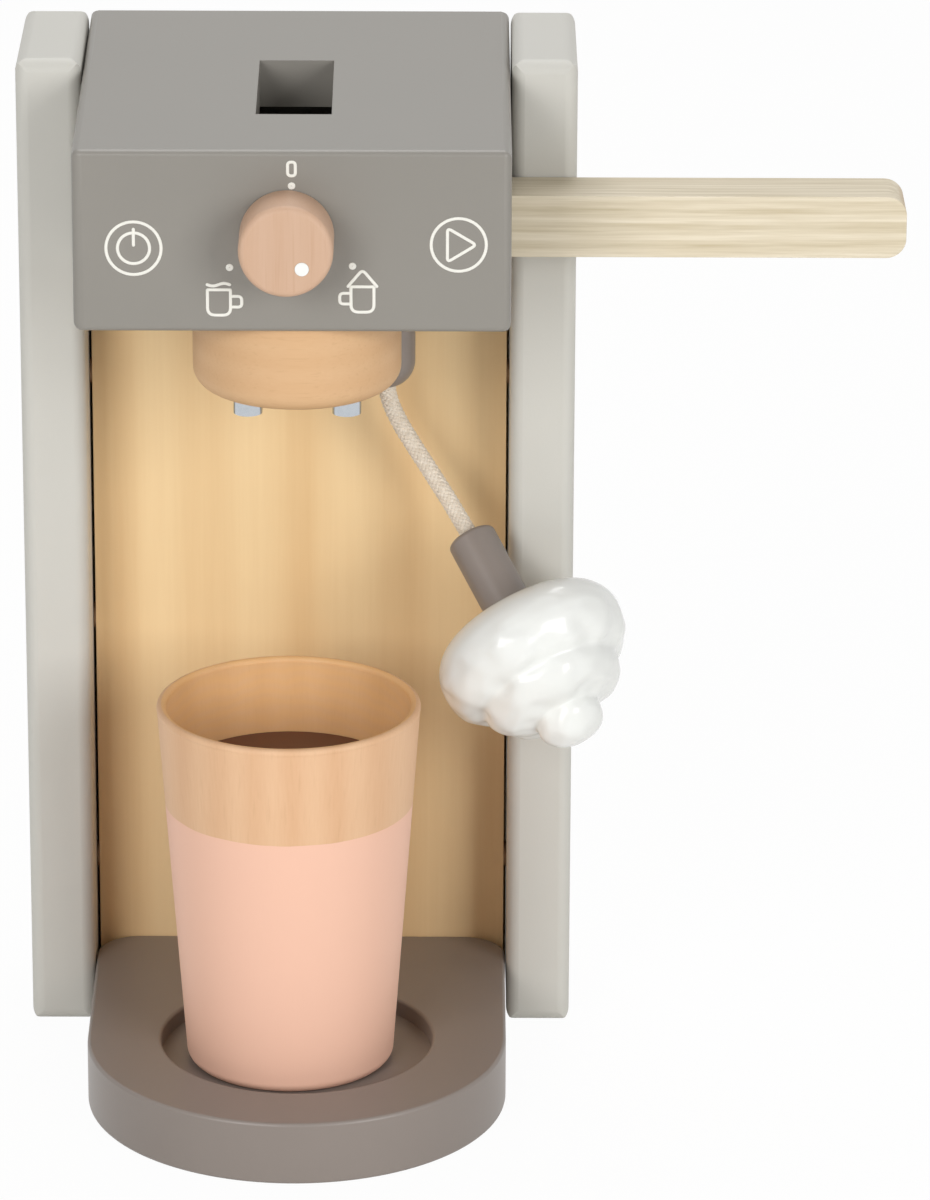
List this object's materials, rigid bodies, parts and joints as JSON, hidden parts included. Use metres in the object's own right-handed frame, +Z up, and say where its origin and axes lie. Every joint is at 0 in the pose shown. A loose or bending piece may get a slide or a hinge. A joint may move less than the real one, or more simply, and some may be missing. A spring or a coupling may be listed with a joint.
{
  "type": "toy coffee maker",
  "caption": "Wooden toy coffee maker with side boards, slotted head, turning knob, press-down lever, brew disc, corded frother with milk foam, and a tapered cup in a D-shaped base.",
  "frame": {"origin": "on the floor, under the centre of the base plate's round front, where the cup stands", "axes": "+Z up, +Y from the cup towards the back panel, +X towards the side the lever sticks out of"},
  "size_m": [0.2025, 0.1346, 0.238],
  "materials": {
    "light_paint": "satin painted",
    "dark_paint": "satin painted",
    "limewood": "natural",
    "beech": "natural oiled",
    "palewood": "natural",
    "woven_cord": "woven cotton",
    "foam_gloss": "gloss painted",
    "coffee_paint": "satin painted",
    "zinc_steel": "zinc plated"
  },
  "bodies": {
    "frame": {"left_side_board": "light_paint", "right_side_board": "light_paint", "back_panel": "limewood", "base_plate": "dark_paint", "head_front_board": "dark_paint", "head_top_board": "dark_paint", "head_left_cheek": "dark_paint", "head_right_cheek": "dark_paint", "head_floor": "dark_paint", "head_back_board": "dark_paint", "frame_dowels": "beech", "base_screws": "zinc_steel", "disc_screws": "zinc_steel", "brew_disc": "beech", "left_spout": "zinc_steel", "right_spout": "zinc_steel", "frother_peg": "dark_paint", "frother_cord": "woven_cord", "frother_nozzle": "dark_paint", "nozzle_magnet": "zinc_steel", "lever_pin": "zinc_steel"},
    "knob": {"selector_knob": "beech", "pointer_dot": "foam_gloss", "knob_screw": "zinc_steel", "knob_washer": "zinc_steel"},
    "lever": {"lever_bar": "palewood"},
    "cup": {"cup": "beech", "coffee_disc": "coffee_paint"},
    "foam": {"foam_topping": "foam_gloss", "foam_magnet": "zinc_steel"}
  },
  "joints": [
    {"name": "knob_turn", "type": "hinge", "parent": "frame", "child": "knob", "pos_m": [-0.0011, -0.0118, 0.2137], "axis": [0, -1, 0], "continuous": true},
    {"name": "lever_press", "type": "hinge", "parent": "frame", "child": "lever", "pos_m": [0.04385, 0.03425, 0.20375], "axis": [0, 1, 0], "range_deg": [0, 15]},
    {"name": "cup_lift", "type": "slide", "parent": "frame", "child": "cup", "axis": [0, 0, 1], "range_m": [0, 0.06]},
    {"name": "foam_pull", "type": "slide", "parent": "frame", "child": "foam", "axis": [0.4489, -0.6067, -0.6561], "range_m": [0, 0.03]}
  ]
}
